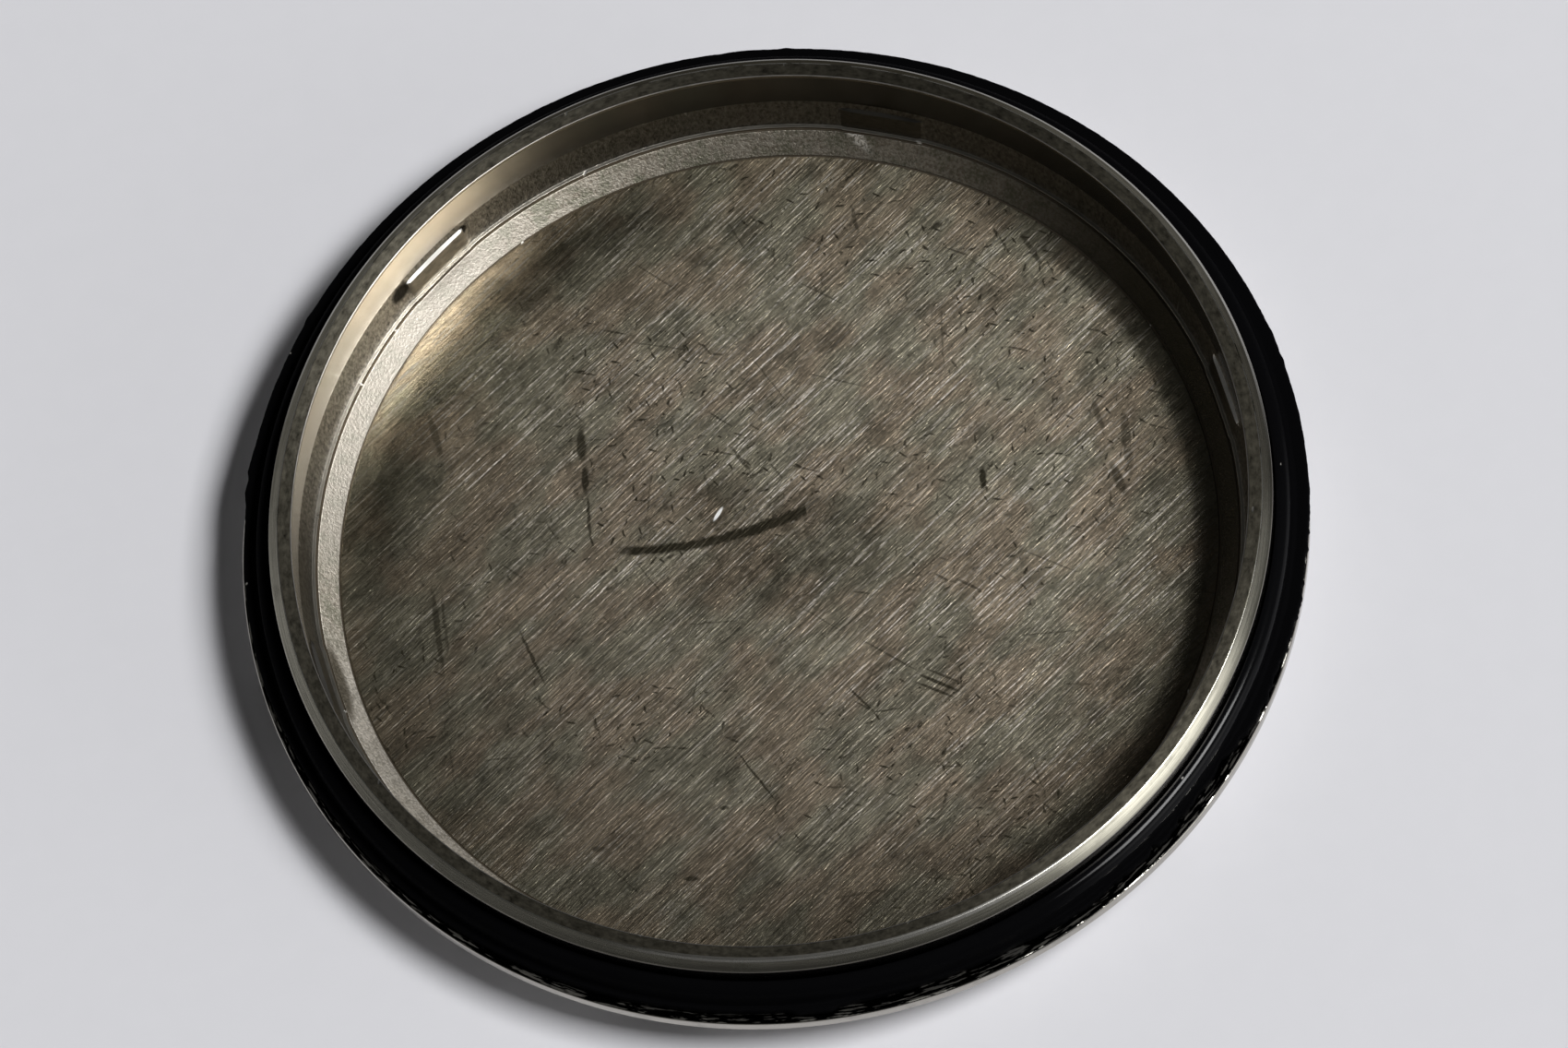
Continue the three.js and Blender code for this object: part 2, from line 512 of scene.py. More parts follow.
def pressing_tree(name, materials):
    """Raises the dents on the inner wall, and cuts the notches that made them from outside."""
    graph, given = shape_tree(name, {
        "Marks": "Int", "First Mark": "Float",
        "Dent Width": "Float", "Dent End": "Float", "Dent Proud": "Float",
        "Dent Ledge": "Float", "Dent Foot": "Float", "Ledge Drop": "Float",
        "Wall Radius": "Float", "Wall Foot": "Float",
        "Notch Width": "Float", "Notch Reach": "Float", "Notch Height": "Float",
        "Notch Rounding": "Float", "Notch Arc Steps": "Int", "Flange Radius": "Float",
    })
    marks = given["Marks"]
    x, y, z = graph.parts(graph.node("GeometryNodeInputPosition"))
    radius = reach_of(x, y)
    spacing = math.tau / marks
    turn = y.math("ARCTAN2", x) - given["First Mark"]
    across = turn.math("WRAP", spacing / 2, spacing / -2).math("ABSOLUTE") * radius
    half_width, half_end = given["Dent Width"] / 2, given["Dent End"] / 2
    along = graph.smooth(across, half_width + half_end, half_width - half_end)
    ledge_top = given["Dent Ledge"] + given["Ledge Drop"] / 2
    ledge_end = given["Dent Ledge"] - given["Ledge Drop"] / 2
    below = graph.ramp(z, ledge_top, ledge_end)
    above = graph.smooth(z, given["Dent Foot"], given["Dent Ledge"] - given["Dent Proud"] * 4)
    inside = given["Wall Radius"] > radius
    sagitta = across * across / (radius * 2)
    push = (given["Dent Proud"] - sagitta) * along * below * above * inside
    outward = graph.vector("NORMALIZE", graph.combine(x, y, 0))
    values = {"Geometry": given["Geometry"], "Offset": graph.vector("SCALE", outward, push * -1)}
    shape = graph.node("GeometryNodeSetPosition", None, values)
    pressed = inside * (along > 0.5) * (ledge_top > z)
    shape = store_finish(graph, shape, pressed * (z > given["Wall Foot"]), finishes.index("dent"))
    shape = store_finish(graph, shape, pressed * (z > ledge_end), finishes.index("ledge"))

    plan = graph.node(
        "GeometryNodeCurvePrimitiveQuadrilateral", None, (given["Notch Reach"] * 2, given["Notch Width"])
    )
    values = {"Curve": plan, "Count": given["Notch Arc Steps"], "Radius": given["Notch Rounding"]}
    plan = graph.node("GeometryNodeFilletCurve", {"mode": "POLY"}, values)
    foot = graph.combine(0, 0, given["Notch Reach"] * -1)
    head = graph.combine(0, 0, given["Notch Height"])
    post = graph.node("GeometryNodeCurvePrimitiveLine", None, (foot, head))
    values = {"Curve": post, "Profile Curve": plan, "Fill Caps": True}
    cutter = graph.node("GeometryNodeCurveToMesh", None, values)
    values = {"Geometry": cutter, "Translation": graph.combine(given["Flange Radius"], 0, 0)}
    cutter = graph.node("GeometryNodeTransform", None, values)
    cutter = store_finish(graph, cutter, None, finishes.index("notch"))
    points = graph.node("GeometryNodeMeshLine", None, {"Count": marks, "Offset": (0, 0, 0)})
    turn = graph.node("GeometryNodeInputIndex") * spacing + given["First Mark"]
    turn = graph.node("FunctionNodeEulerToRotation", None, (graph.combine(0, 0, turn),))
    values = {"Points": points, "Instance": cutter, "Rotation": turn}
    cutters = graph.node("GeometryNodeInstanceOnPoints", None, values)
    cutters = graph.node("GeometryNodeRealizeInstances", None, (cutters,))
    settings = {"operation": "DIFFERENCE", "solver": "EXACT"}
    end_tree(graph, graph.node("GeometryNodeMeshBoolean", settings, (shape, cutters)), materials)
    return graph.tree


def finish_mesh(made, sharp_angle):
    """Smooth shading, with an edge kept sharp where its faces turn by more than an angle."""
    made.data.shade_smooth()
    made.data.set_sharp_from_angle(angle=sharp_angle)


steel_colour = (0.60, 0.565, 0.50)
floor_tints = (0.590, 0.543, 0.407), (0.656, 0.540, 0.396)
bright_line_colour = (0.90, 0.84, 0.76)
dark_line_colour = (0.12, 0.105, 0.08)
stain_colour = (0.14, 0.135, 0.10)
dirt_colour = (0.082, 0.072, 0.047)
# The colour of the painted shadow in the floor's right corner.
painted_corner_shadow_colour = (0.05, 0.045, 0.030)
nick_colour = (1, 1, 0.98)
brush_azimuth = 33
# Painted light: the floor is painted lighter toward this azimuth, and its lines are painted stronger there.
painted_light_azimuth = 45
# Painted shade: the floor is painted darker toward this azimuth.
painted_shade_azimuth = 135
floor_roughness = 0.33

# Dark strokes on the floor, each from one end to the other in millimetres, with its width and depth.
floor_strokes = [
    ((-5.32, 5.86), (-5.50, 4.70), 0.22, 0.9),
    ((-5.45, 4.50), (-5.62, 3.55), 0.16, 0.9),
    ((-5.58, 3.40), (-5.79, 1.95), 0.09, 0.8),
    ((-11.07, 1.41), (-11.28, -1.52), 0.14, 0.7),
    ((-10.82, 1.10), (-11.00, -0.90), 0.07, 0.6),
    ((-8.61, -0.72), (-8.20, -2.71), 0.08, 0.8),
    ((-9.98, 7.60), (-9.87, 5.97), 0.17, 0.6),
    ((-0.76, 4.01), (-0.33, 3.04), 0.08, 0.7),
    ((-1.78, 3.36), (-1.74, 2.17), 0.08, 0.6),
    ((6.94, 1.30), (6.79, 0.54), 0.17, 0.95),
    ((10.96, 0.43), (11.18, -0.76), 0.22, 0.7),
    ((10.85, 2.82), (10.96, 1.70), 0.14, 0.6),
    ((11.72, 2.17), (11.50, 0.00), 0.20, 0.6),
    ((3.47, -5.32), (4.56, -6.18), 0.09, 0.9),
    ((3.32, -5.56), (4.38, -6.36), 0.07, 0.8),
    ((3.70, -5.16), (4.70, -5.92), 0.06, 0.7),
    ((1.19, -5.21), (1.84, -6.29), 0.06, 0.8),
    ((1.80, -6.25), (2.60, -6.30), 0.05, 0.7),
    ((-2.71, -6.51), (-1.84, -8.57), 0.05, 0.8),
    ((-2.95, -5.95), (-2.60, -6.22), 0.06, 0.7),
    ((9.87, 9.11), (10.31, 7.81), 0.12, 0.7),
    ((9.70, 8.30), (10.40, 8.60), 0.07, 0.6),
    ((-3.62, -8.31), (-3.32, -8.39), 0.11, 0.8),
    ((-5.20, -10.45), (-4.78, -10.55), 0.12, 0.8),
    ((-7.85, -8.72), (-7.35, -8.86), 0.14, 0.6),
    ((7.05, 10.05), (7.49, 10.15), 0.15, 0.7),
    ((4.77, 11.50), (4.77, 10.50), 0.10, 0.6),
    ((2.70, 6.60), (3.90, 7.40), 0.45, 0.4),
    ((4.60, 6.50), (5.50, 7.30), 0.34, 0.4),
    ((1.95, -3.69), (3.47, -5.21), 0.05, 0.6),
    ((2.05, -1.98), (2.51, -2.14), 0.06, 0.7),
    ((4.70, -2.00), (5.06, -2.34), 0.07, 0.7),
    ((5.35, -2.35), (5.95, -2.90), 0.08, 0.7),
]
smear_left, smear_right = -4.8, 1.15
smear_low, smear_sag = 0.90, 0.038
smear_width, smear_widening = 0.13, 0.014
nick_place, nick_size, nick_angle = (-1.63, 1.78), (0.28, 0.06), math.radians(48)


def turned_spot(graph, along, across, slope=1):
    """A vector for tool marks: along features a millimetre round the rim, across up and out."""
    x, y, z = graph.parts(spot(graph))
    radius = reach_of(x, y)
    rim = neck_radius / mm * along
    return graph.combine(x / radius * rim, y / radius * rim, (radius + z * slope) * across)


def toward_azimuth(x, y, azimuth):
    """How far a place lies from the axis toward an azimuth."""
    return x * math.cos(math.radians(azimuth)) + y * math.sin(math.radians(azimuth))


def facing(graph, x, y, azimuth, low, high):
    """0 to 1 toward an azimuth, between two cosines of the angle from it."""
    return graph.smooth(toward_azimuth(x, y, azimuth) / reach_of(x, y), low, high)


def flat_noise(graph, x, y, scales, seed, detail=2, roughness=0.5):
    """Noise over the floor, with so many features a millimetre along x and along y."""
    return graph.noise(graph.combine(x * scales[0], y * scales[1], seed), detail, roughness)


def oval(graph, place, centre, half_sizes, angle, soft=0.35):
    """1 inside an oval on the floor and 0 outside, with a soft edge."""
    values = (place, (*centre, plate_top / mm), (0, 0, angle), (*half_sizes, 1))
    inside = graph.node("ShaderNodeMapping", {"vector_type": "TEXTURE"}, values)
    return graph.smooth(graph.vector("LENGTH", inside), 1 + soft, 1 - soft)


def scatter(graph, place):
    """Random points about a unit apart: the way from the nearest one, and two chances that it has."""
    settings = {"feature": "F1", "voronoi_dimensions": "3D"}
    points = graph.node("ShaderNodeTexVoronoi", settings, {"Vector": place, "Scale": 1})
    chance = graph.node("ShaderNodeSeparateColor", None, (points.other("Color"),))
    return graph.vector("SUBTRACT", place, points.other("Position")), chance, chance.other("Green")


def parallel_strokes(graph, u, v, length, spacing, half_width, share, seed):
    """Thin straight strokes along u, at random places, on the given share of points."""
    away, chance, depth = scatter(graph, graph.combine(u / length, v / spacing, seed))
    along, across, _ = graph.parts(away)
    thick = graph.smooth(across.math("ABSOLUTE") * spacing, half_width * 1.5, half_width * 0.5)
    ends = graph.smooth(along.math("ABSOLUTE"), 0.55, 0.30)
    return thick * ends * (share > chance) * (0.35 + depth * 0.65)


def flecks(graph, place, spacing, half_sizes, share):
    """Short strokes at random places and angles, on the given share of points of a spacing."""
    away, turn, chance = scatter(graph, graph.vector("SCALE", place, 1 / spacing))
    values = {"Vector": away, "Angle": turn * math.pi}
    turned = graph.node("ShaderNodeVectorRotate", {"rotation_type": "Z_AXIS"}, values)
    stretch = (spacing / half_sizes[0], spacing / half_sizes[1], 0)
    length = graph.vector("LENGTH", graph.vector("MULTIPLY", turned, stretch))
    return graph.smooth(length, 1.4, 0.6) * (share > chance)


def floor_smear(graph, x, y, grit, ragged):
    """The long dark smear across the floor: a shallow arc with a ragged edge and a cut right end."""
    middle = (smear_left + smear_right) / 2
    arc = (x - middle) * (x - middle) * smear_sag + smear_low
    width = smear_width + (x - smear_left).math("MAXIMUM", 0) * smear_widening
    away = (y - arc).math("ABSOLUTE") / width + (grit + ragged - 1) * 1.1
    left_end = graph.smooth(x + (ragged - 0.5) * 0.8, smear_left - 0.4, smear_left + 0.2)
    right_end = graph.smooth(x, smear_right + 0.03, smear_right - 0.03)
    return graph.smooth(away, 1.6, 0.6) * left_end * right_end


def floor_dirt(graph, x, y, flat, grit, beads):
    """Dirt in the marks on the floor, 0 to 1: small random ones, the strokes above and the smear."""
    ragged = flat_noise(graph, x, y, (3, 3), 23, 3, 0.7)
    shifted = graph.vector("ADD", flat, graph.combine((ragged - 0.5) * 0.22, (ragged - 0.5) * -0.16, 0))
    bent = graph.vector("ADD", flat, graph.combine((ragged - 0.5) * 0.45, (ragged - 0.5) * -0.35, 0))
    worn = graph.smooth(flat_noise(graph, x, y, (0.16, 0.16), 31, 1), 0.40, 0.60)
    short = flecks(graph, shifted, 0.55, (0.15, 0.035), 0.40)
    pits = graph.smooth(flat_noise(graph, x, y, (6, 6), 51, 2, 0.6), 0.64, 0.70)
    hairs = flecks(graph, shifted, 2.6, (1.0, 0.03), 0.4)
    scribbles = flecks(graph, bent, 1.25, (0.42, 0.035), 0.35)
    dirt = short * (0.25 + worn * 0.65)
    dirt = dirt.math("MAXIMUM", pits * (0.35 + worn * 0.50))
    dirt = dirt.math("MAXIMUM", hairs * 0.5)
    dirt = dirt.math("MAXIMUM", scribbles * (0.18 + worn * 0.50))
    dirt = dirt * (0.60 + graph.smooth(ragged + beads, 0.62, 0.98) * 0.40)
    for start, end, width, depth in floor_strokes:
        way = Vector(end) - Vector(start)
        centre = (Vector(end) + Vector(start)) / 2
        stroke = oval(graph, shifted, centre, (way.length / 2, width * 0.7), math.atan2(way.y, way.x))
        dirt = dirt.math("MAXIMUM", stroke * depth)

    grime = graph.smooth(flat_noise(graph, x, y, (2.2, 2.2), 41, 4, 0.75), 0.42, 0.60)
    halo = oval(graph, flat, (0.6, -0.3), (2.9, 1.7), 0, 0.7)
    halo = halo.math("MAXIMUM", oval(graph, flat, (-1.5, 1.9), (1.0, 1.1), 0, 0.7))
    dirt = dirt.math("MAXIMUM", halo * (0.28 + grime * 0.40))
    return dirt.math("MAXIMUM", floor_smear(graph, x, y, grit, ragged) * 0.96)


def shade_floor(graph, x, y, colour, cloud):
    """Painted shade: darker toward the upper left and outward, a painted shadow of the right wall along the
    floor's edge, and darker near the ring toward the upper left and the near side.
    """
    radius = reach_of(x, y)
    # Painted shade, darker toward the upper left and outward.
    painted_upper_left_shade = graph.smooth(radius + toward_azimuth(x, y, painted_shade_azimuth) * 0.28, 8.0, 17.0) * 0.70
    colour = graph.mix(painted_upper_left_shade, colour, (0.42, 0.43, 0.40), "MULTIPLY")
    # Painted shadow of the right wall along the floor's edge on the right.
    corner = graph.smooth(radius + (cloud - 0.5) * 0.5, 13.05, 13.45) * facing(graph, x, y, -10, 0.25, 0.75)
    colour = graph.mix(corner * 0.70, colour, painted_corner_shadow_colour)
    # Painted shade near the ring toward the upper left.
    corner = graph.smooth(radius, 11.2, 13.1) * (1 - graph.smooth(radius, 13.2, 13.5) * 0.20)
    corner = corner * facing(graph, x, y, 132, 0.68, 0.92)
    colour = graph.mix(corner * 0.80, colour, (0.14, 0.140, 0.13), "MULTIPLY")
    # Painted shade near the ring on the near side.
    painted_near_side_shade = graph.smooth(radius, 9.0, 13.4) * facing(graph, x, y, 312, 0.10, 0.85)
    return graph.mix(painted_near_side_shade * 0.55, colour, (0.18, 0.17, 0.15), "MULTIPLY")


def brushed_floor():
    """Straight coarse brushing with darker lines between, strokes of dirt and one bright nick, with painted
    light on one side and painted shade.
    """
    material, graph = surface("brushed_floor", steel_colour, floor_roughness, 1)
    x, y, _ = graph.parts(spot(graph))
    flat = graph.combine(x, y, plate_top / mm)
    u = toward_azimuth(x, y, brush_azimuth)
    v = toward_azimuth(x, y, brush_azimuth + 90)
    side = toward_azimuth(x, y, painted_light_azimuth)

    fine = flat_noise(graph, u, v, (1.6, 12), 0, 3, 0.7)
    broad = flat_noise(graph, u, v, (0.25, 4), 7, 2, 0.6)
    grit = flat_noise(graph, x, y, (7, 7), 3, 3, 0.8)
    beads = flat_noise(graph, u, v, (8, 10), 5, 1)
    mottle = flat_noise(graph, u, v, (0.35, 0.55), 11)
    cloud = flat_noise(graph, x, y, (0.9, 0.9), 17, 5, 0.75)
    # Painted light: the floor's tone rises toward 45 degrees, and its lines and bright strokes stand out
    # more there.
    painted_light_contrast = 0.45 + graph.smooth(side, -9, 1) * 0.55
    tone = 1 + ((fine - 0.5) * 0.8 + (grit - 0.5) * 1.5) * painted_light_contrast
    tone = tone + (broad - 0.5) * 0.3 + (cloud - 0.5) * 1.35
    tone = tone * (1.07 + side * 0.031)
    colour = graph.mix(graph.smooth(mottle, 0.40, 0.60), *floor_tints)
    colour = graph.mix(1, colour, graph.combine(tone, tone, tone), "MULTIPLY")

    # The bright brushing lines are real lines with painted glints: their shine is painted into the colour as
    # a painted highlight.
    groups = graph.smooth(flat_noise(graph, u, v, (0.18, 0.7), 13), 0.42, 0.62)
    bright = parallel_strokes(graph, u, v, 3.0, 0.32, 0.026, 0.65, 3)
    bright = bright.math("MAXIMUM", parallel_strokes(graph, u, v, 1.3, 0.22, 0.023, 0.55, 9))
    bright = bright * (0.35 + graph.smooth(beads, 0.35, 0.60) * 0.65) * (0.55 + groups * 0.65) * painted_light_contrast
    dark = parallel_strokes(graph, u, v, 2.2, 0.28, 0.040, 0.45, 14)
    stains = graph.smooth(flat_noise(graph, x, y, (0.5, 0.5), 61, 4, 0.7), 0.52, 0.66)
    colour = graph.mix(dark * 0.45, colour, dark_line_colour)
    colour = graph.mix(bright, colour, bright_line_colour)
    colour = graph.mix(stains * 0.40, colour, stain_colour)
    dirt = floor_dirt(graph, x, y, flat, grit, beads)
    colour = graph.mix(dirt, shade_floor(graph, x, y, colour, cloud), dirt_colour)
    nick = oval(graph, flat, nick_place, nick_size, nick_angle, 0.25)
    colour = graph.mix(nick, colour, nick_colour)
    feed(graph, "Base Color", colour)
    feed(graph, "Roughness", floor_roughness + bright * 0.18 + (cloud - 0.5) * 0.1 + nick * 0.25)
    raise_surface(graph, fine * 0.6 + broad * 0.4, 0.024 * mm)
    return material


def grainy_ring():
    """The sloping ring is left rough: bright grains and dark pits, with faint turning lines. It has painted
    shade toward the right and painted light toward 143 and 200 degrees.
    """
    material, graph = surface("grainy_ring", steel_colour, 0.48, 1)
    place = spot(graph)
    x, y, _ = graph.parts(place)
    flat = graph.combine(x, y, plate_top / mm)
    rough = graph.noise(graph.vector("SCALE", place, 10), 3, 0.7)
    lines = graph.noise(turned_spot(graph, 0.5, 7), 2)
    mottle = flat_noise(graph, x, y, (1.5, 1.5), 19, 3, 0.7)
    tone = graph.smooth(rough * 0.75 + lines * 0.25 + (mottle - 0.5) * 0.4, 0.34, 0.66)
    tint = graph.mix(graph.smooth(mottle, 0.42, 0.58), (0.30, 0.300, 0.220), (0.36, 0.305, 0.245))
    colour = graph.mix(tone, tint, (0.76, 0.705, 0.605))
    # Painted shadow on the right side of the ring, where the wall shades it.
    colour = graph.mix(facing(graph, x, y, 45, 0.05, 0.80) * 0.62, colour, (0.05, 0.044, 0.032))
    colour = graph.mix(facing(graph, x, y, 5, 0.55, 0.97) * 0.93, colour, (0.045, 0.040, 0.028))
    # Painted light toward 200 degrees, and an even painted tone toward 143 degrees where the highlight
    # falls.
    light = graph.mix(tone, (0.56, 0.525, 0.46), (1.0, 0.95, 0.87))
    colour = graph.mix(facing(graph, x, y, 200, 0.88, 0.98), colour, light)
    painted_highlight_tone = facing(graph, x, y, 143, 0.80, 0.97) * 0.65
    colour = graph.mix(painted_highlight_tone, colour, (0.60, 0.56, 0.50))
    beside_dent = oval(graph, flat, (-14.58, -1.30), (1.40, 0.24), math.radians(95))
    colour = graph.mix(beside_dent * 0.85, colour, (0.17, 0.155, 0.12), "MULTIPLY")
    scuff = oval(graph, flat, (5.42, 13.62), (0.45, 0.14), math.radians(-54), 0.7)
    colour = graph.mix(scuff * graph.smooth(rough, 0.35, 0.60) * 0.8, colour, (1, 0.97, 0.92))
    feed(graph, "Base Color", colour)
    feed(graph, "Roughness", 0.44 + rough * 0.12)
    raise_surface(graph, rough, 0.026 * mm)
    return material


scratch_colour = (0.95, 0.94, 0.90)
painted_shade_colour = (0.030, 0.026, 0.018)
painted_falloff_colour = (0.035, 0.034, 0.030)
residue_colour = (0.003, 0.003, 0.003)
painted_edge_highlight_colour = (0.95, 0.93, 0.88)
painted_highlight_line_colour = (0.80, 0.78, 0.73)
dent_shadow_colour = (0.012, 0.010, 0.007)

# Painted shadows in the hollows at the ends of one dent, in millimetres: along the wall, height, and half
# sizes.
dent_shadow_spots = [(1.62, 2.06, 0.40, 0.26), (-1.34, 2.10, 0.13, 0.14)]
shadowed_dent_mark = first_mark + math.tau / 3


def turned_steel(
    name, colour, roughness, line_scale, line_contrast, along=0.35, slope=1, bump=0.004,
    stain=0.25, grain=0, painted_shades=(), edge=None, painted_dent_shadows=False, painted_falloff=None, residue=0, glancing=1,
    painted_highlight_lines=(),
):
    """Steel off the lathe: fine lines round the axis, small patches of stain and a few nicks.

    line_scale is the number of lines to a millimetre, line_contrast how much they differ, and
    along how often they break off. slope is -1 where the surface falls outward. grain spreads
    its highlights across the lines. painted_shades paints shade toward some azimuths, each with
    two cosines as for facing, and a depth. edge paints a bright highlight line at one radius,
    with its half width and how much of it is broken up. painted_falloff paints shade from one
    radius to another, most toward 312 degrees. residue leaves black rubber on it in streaks.
    painted_dent_shadows paints dark shadows in the hollows at both ends of one dent. glancing
    below 1 keeps it from shining where it is seen edge on. painted_highlight_lines are bright
    highlight lines painted toward one side: a radius and half width, then as in painted_shades.
    """
    material, graph = surface(name, colour, roughness, 1)
    shader = material.node_tree.nodes["Principled BSDF"]
    shader.inputs["Anisotropic"].default_value = grain
    shader.inputs["Anisotropic Rotation"].default_value = 0.25
    shader.inputs["Specular Tint"].default_value = (glancing, glancing, glancing, 1)
    place = spot(graph)
    x, y, z = graph.parts(place)
    reach = reach_of(x, y)
    lines = graph.noise(turned_spot(graph, along, line_scale, slope), 3, 0.65)
    patches = graph.noise(turned_spot(graph, 0.9, 1.2, slope), 3, 0.65)
    nicks = flecks(graph, place, 0.8, (0.09, 0.03), 0.12)
    tone = 1 + (lines - 0.5) * line_contrast - graph.smooth(patches, 0.5, 0.72) * stain
    shade = graph.mix(1, colour, graph.combine(tone, tone, tone), "MULTIPLY")
    shade = graph.mix(nicks * 0.7, shade, scratch_colour)
    # Painted shade toward the given azimuths.
    for azimuth, low, high, depth in painted_shades:
        shade = graph.mix(facing(graph, x, y, azimuth, low, high) * depth, shade, painted_shade_colour)
    # Painted shade across the surface, strongest toward 312 degrees, so that the highlight fades outward.
    if painted_falloff:
        near, far, depth = painted_falloff
        depth = facing(graph, x, y, 312, -0.20, 0.60) * depth
        shade = graph.mix(graph.smooth(reach, near, far) * depth, shade, painted_falloff_colour)
    if residue:
        streaks = graph.noise(turned_spot(graph, 1.4, 14), 3, 0.6)
        shade = graph.mix(graph.smooth(streaks, 0.60, 0.55) * residue, shade, residue_colour)
    # A bright highlight line painted at one radius, broken up in patches.
    if edge:
        radius, half_width, share = edge
        away = (reach - radius).math("ABSOLUTE")
        worn = graph.smooth(away, half_width * 1.4, half_width * 0.6)
        worn = worn * graph.smooth(patches, 0.62 - share, 0.52)
        shade = graph.mix(worn * 0.4, shade, painted_edge_highlight_colour)
    # Bright highlight lines painted at a radius, toward one side only.
    for radius, half_width, azimuth, low, high, depth in painted_highlight_lines:
        away = (reach - radius).math("ABSOLUTE")
        line = graph.smooth(away, half_width * 1.3, half_width * 0.7)
        line = line * facing(graph, x, y, azimuth, low, high)
        shade = graph.mix(line * depth, shade, painted_highlight_line_colour)
    # Painted shadows in the hollows at both ends of one dent.
    if painted_dent_shadows:
        round_rim = (y.math("ARCTAN2", x) - shadowed_dent_mark) * reach
        for middle, height, half_wide, half_high in dent_shadow_spots:
            shape = graph.combine((round_rim - middle) / half_wide, (z - height) / half_high, 0)
            dent_shadow = graph.smooth(graph.vector("LENGTH", shape), 1.45, 0.70)
            shade = graph.mix(dent_shadow * 0.98, shade, dent_shadow_colour)
    feed(graph, "Base Color", shade)
    feed(graph, "Roughness", roughness * (1 + (patches - 0.5) * stain * 1.6))
    raise_surface(graph, lines - nicks * 0.5, bump * mm)
    return material


neck_edge = neck_radius / mm
land_edge = (neck_radius - rim_chamfer_width) / mm

# The shades, falloff and bright lines set by azimuth below are painted light and shade.
steel = {
    "outer_face": turned_steel(
        "satin_outer_face", (0.58, 0.56, 0.52), 0.28, 14, 0.5, stain=0.08, grain=0.6,
    ),
    "bevel": turned_steel("polished_bevel", (0.60, 0.58, 0.54), 0.12, 8, 0.15, bump=0.0008),
    "flange_edge": turned_steel("polished_edge", (0.42, 0.40, 0.36), 0.16, 8, 0.2, bump=0.001),
    "flange": turned_steel(
        "polished_flange", (0.80, 0.77, 0.70), 0.22, 10, 0.3, bump=0.0015, residue=1,
    ),
    "neck": turned_steel(
        "turned_neck", (0.34, 0.32, 0.29), 0.16, 10, 0.4, bump=0.002, painted_shades=[(240, 0.50, 0.90, 0.80)],
    ),
    "chamfer": turned_steel(
        "turned_chamfer", (0.665, 0.64, 0.53), 0.26, 16, 1.6, slope=-1, bump=0.003, grain=0.5,
        glancing=0.35, edge=(land_edge, 0.014, 0.02), painted_falloff=(land_edge + 0.10, neck_edge, 0.55),
        painted_shades=[
            (80, -0.80, 0.30, 0.80), (80, 0.75, 0.97, 0.60), (0, 0.95, 0.99, 0.50),
            (245, 0.40, 0.90, 0.52),
        ],
        painted_highlight_lines=[
            (neck_edge - 0.045, 0.035, 75, 0.10, 0.50, 0.65),
            (land_edge + 0.03, 0.05, 268, 0.86, 0.96, 0.75),
        ],
    ),
    "land": turned_steel(
        "turned_land", (0.44, 0.405, 0.315), 0.30, 6, 2.6, along=3, bump=0.006, grain=0.6,
        painted_shades=[
            (306, 0.55, 0.95, 0.55), (85, 0.60, 0.95, 0.40), (145, 0.75, 0.97, 0.10),
            (255, 0.75, 0.97, 0.15),
        ],
        edge=(land_edge, 0.014, 0.02), painted_highlight_lines=[(land_edge - 0.02, 0.04, 268, 0.86, 0.96, 0.9)],
    ),
    "rim_edge": turned_steel("worn_rim_edge", (0.50, 0.48, 0.45), 0.32, 8, 1.0, along=2),
    "smooth_wall": turned_steel(
        "smooth_wall", (0.93, 0.88, 0.81), 0.26, 6, 0.05, bump=0.0003, stain=0.05, grain=0.5,
        painted_shades=[(50, 0.15, 0.60, 0.96), (190, 0.88, 0.98, 0.62)],
    ),
    "coarse_wall": turned_steel(
        "coarse_wall", (0.35, 0.33, 0.298), 0.36, 5, 3.0, along=8, bump=0.02, painted_dent_shadows=True,
        painted_shades=[(60, 0.20, 0.80, 0.70), (188, 0.85, 0.97, 0.76)],
    ),
    "ledge": turned_steel(
        "pressed_ledge", (1.0, 0.98, 0.93), 0.34, 9, 0.2, bump=0.001,
        painted_shades=[(65, 0.90, 0.98, 0.94), (125, 0.90, 0.98, 0.72), (185, 0.90, 0.98, 0.90)],
    ),
    "dent": turned_steel(
        "pressed_dent", (0.25, 0.23, 0.195), 0.36, 6, 1.4, along=3, bump=0.012,
        painted_shades=[(40, 0.75, 0.88, 0.80), (185, 0.95, 0.99, 0.80)],
    ),
    "shelf": turned_steel("bright_shelf", (0.42, 0.40, 0.35), 0.30, 20, 0.8, along=2.5, bump=0.01),
    "groove": turned_steel("dark_groove", (0.16, 0.135, 0.10), 0.45, 12, 0.4),
    "ring": grainy_ring(),
    "floor": brushed_floor(),
    "notch": turned_steel(
        "pressed_notch", (0.46, 0.44, 0.40), 0.34, 9, 0.4, along=3, bump=0.01,
    ),
}

fine_round, edge_round, soft_round, chamfer_round = 0.02 * mm, 0.04 * mm, 0.07 * mm, 0.07 * mm
steel_sharp_angle = math.radians(32)

# Where the coarse wall and the ring get rows of points, as shares of their heights.
ledge_share = (dent_ledge - shelf_top) / coarse_wall_height
drop_share = ledge_drop / coarse_wall_height
ledge_rows = [ledge_share + drop_share * step for step in (1.0, 0.5, 0.25, 0, -0.25, -0.5, -1.0)]
wall_rows = [0.9, *ledge_rows, 0.6, 0.48, 0.36, 0.24, 0.12]
ring_rows = [0.75, 0.50, 0.25]


def coarse_row(share):
    """A point on the coarse wall, at a share of its height."""
    return (
        shelf_radius + coarse_wall_step * share,
        shelf_top + coarse_wall_height * share,
        0,
        "coarse_wall",
    )


def ring_row(share):
    """A point on the sloping ring, at a share of its height."""
    return (
        floor_groove_radius + (ring_outer_radius - floor_groove_radius) * share,
        plate_top + (ring_top - plate_top) * share,
        0,
        "ring",
    )


